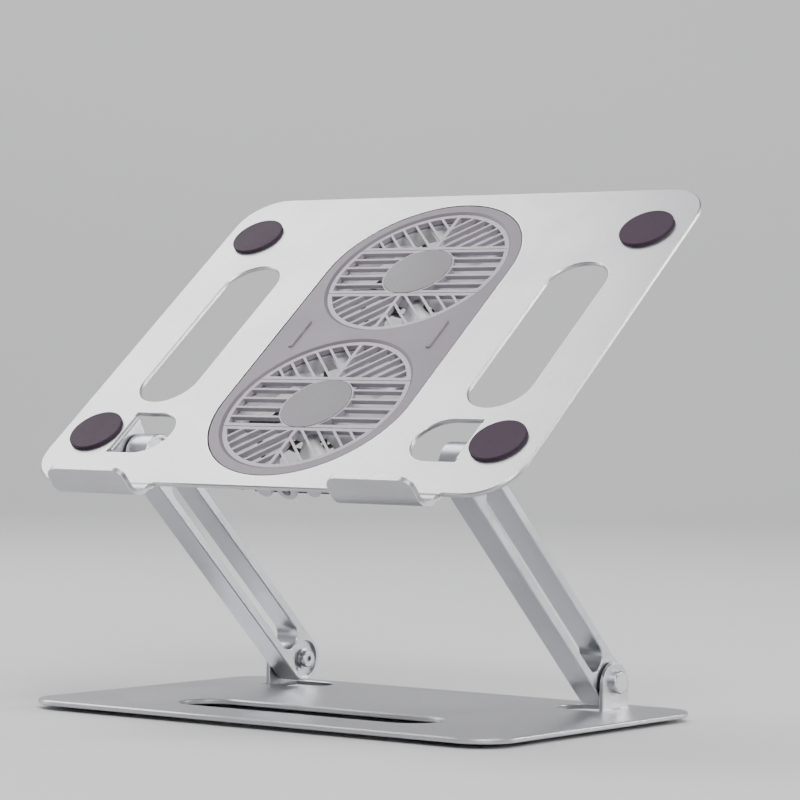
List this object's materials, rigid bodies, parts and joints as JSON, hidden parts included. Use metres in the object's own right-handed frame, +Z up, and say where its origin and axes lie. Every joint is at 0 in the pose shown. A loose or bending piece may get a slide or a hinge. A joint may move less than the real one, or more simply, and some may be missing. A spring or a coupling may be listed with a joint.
{
  "type": "laptop cooling pad",
  "caption": "Sheet-metal laptop stand: a flat base, slotted friction-hinged arms and a tilting tray with rubber pads, laptop stops and round grilles over cooling fans.",
  "frame": {"origin": "on the table, under the middle of the object's bounding box", "axes": "+Z up, +X across the width to the user's right, +Y from the laptop stops in front to the rear"},
  "size_m": [0.28, 0.208, 0.2579],
  "materials": {
    "sheet_aluminium": "fine sand-blasted anodised, bright cut edges",
    "arm_aluminium": "fine sand-blasted anodised, bright chamfers",
    "bezel_plastic": "satin",
    "grille_plastic": "satin",
    "cap_plastic": "semi-gloss",
    "pad_rubber": "matt",
    "foot_rubber": "matt",
    "housing_plastic": "fine texture",
    "fastener_steel": "nickel plated",
    "pin_steel": "plain",
    "washer_plastic": "matt",
    "fan_white": "satin",
    "frame_plastic": "satin",
    "bearing_bronze": "sintered, oiled",
    "core_steel": "laminated",
    "coil_copper": "enamelled wire",
    "magnet_ferrite": "matt",
    "board_green": "coated board",
    "control_plastic": "satin",
    "socket_plastic": "satin"
  },
  "bodies": {
    "base": {"base_plate": "sheet_aluminium", "foot_front_left": "foot_rubber", "foot_front_right": "foot_rubber", "foot_rear_left": "foot_rubber", "foot_rear_right": "foot_rubber", "base_screw_left": "fastener_steel", "base_screw_right": "fastener_steel", "base_cap_nut_left": "fastener_steel", "base_cap_nut_right": "fastener_steel", "base_spring_washer_left": "fastener_steel", "base_spring_washer_right": "fastener_steel", "base_friction_washer_left": "washer_plastic", "base_friction_washer_right": "washer_plastic"},
    "left_arm": {"left_arm": "arm_aluminium", "left_arm_pins": "pin_steel"},
    "right_arm": {"right_arm": "arm_aluminium", "right_arm_pins": "pin_steel"},
    "tray": {"tray_plate": "sheet_aluminium", "fan_bezel": "bezel_plastic", "pad_front_left": "pad_rubber", "pad_front_right": "pad_rubber", "pad_rear_left": "pad_rubber", "pad_rear_right": "pad_rubber", "fan_housing": "housing_plastic", "housing_screws": "fastener_steel", "power_socket": "socket_plastic", "dial_sensor": "control_plastic", "tactile_switch": "control_plastic", "control_board": "board_green", "tray_screw_left": "fastener_steel", "tray_screw_right": "fastener_steel", "tray_cap_nut_left": "fastener_steel", "tray_cap_nut_right": "fastener_steel", "tray_spring_washer_left": "fastener_steel", "tray_spring_washer_right": "fastener_steel", "tray_friction_washer_left": "washer_plastic", "tray_friction_washer_right": "washer_plastic", "front_grille": "grille_plastic", "front_hub_cap": "cap_plastic", "front_fan_frame": "frame_plastic", "front_bearing": "bearing_bronze", "front_stator": "core_steel", "front_windings": "coil_copper", "rear_grille": "grille_plastic", "rear_hub_cap": "cap_plastic", "rear_fan_frame": "frame_plastic", "rear_bearing": "bearing_bronze", "rear_stator": "core_steel", "rear_windings": "coil_copper"},
    "front_fan": {"front_impeller": "fan_white", "front_magnet_ring": "magnet_ferrite", "front_fan_shaft": "fastener_steel"},
    "rear_fan": {"rear_impeller": "fan_white", "rear_magnet_ring": "magnet_ferrite", "rear_fan_shaft": "fastener_steel"},
    "dial": {"speed_dial": "control_plastic"},
    "button": {"power_button": "control_plastic"}
  },
  "joints": [
    {"name": "left_arm_hinge", "type": "hinge", "parent": "base", "child": "left_arm", "pos_m": [-0.0924, 0.07913, 0.0179], "axis": [1, 0, 0], "range_deg": [-4, 41]},
    {"name": "right_arm_hinge", "type": "hinge", "parent": "base", "child": "right_arm", "pos_m": [0.0924, 0.07913, 0.0179], "axis": [1, 0, 0], "range_deg": [-4, 41]},
    {"name": "tray_hinge", "type": "hinge", "parent": "left_arm", "child": "tray", "pos_m": [-0.0924, -0.04162, 0.12287], "axis": [1, 0, 0], "range_deg": [-79.75, 5]},
    {"name": "front_fan_spin", "type": "hinge", "parent": "tray", "child": "front_fan", "pos_m": [0, -0.02673, 0.14591], "axis": [0, -0.6259, 0.7799], "continuous": true},
    {"name": "rear_fan_spin", "type": "hinge", "parent": "tray", "child": "rear_fan", "pos_m": [0, 0.05601, 0.21232], "axis": [0, -0.6259, 0.7799], "continuous": true},
    {"name": "speed_dial_turn", "type": "hinge", "parent": "tray", "child": "dial", "pos_m": [-0.0015, -0.06722, 0.11136], "axis": [0, 0.7799, 0.6259], "range_deg": [-135, 135]},
    {"name": "power_button_press", "type": "slide", "parent": "tray", "child": "button", "axis": [0, 0.7799, 0.6259], "range_m": [0, 0.0008], "stiffness_N_per_m": 400, "springref_m": -0.001}
  ],
  "couplings": [
    {"joint": "right_arm_hinge", "follows": "left_arm_hinge", "ratio": 1}
  ]
}
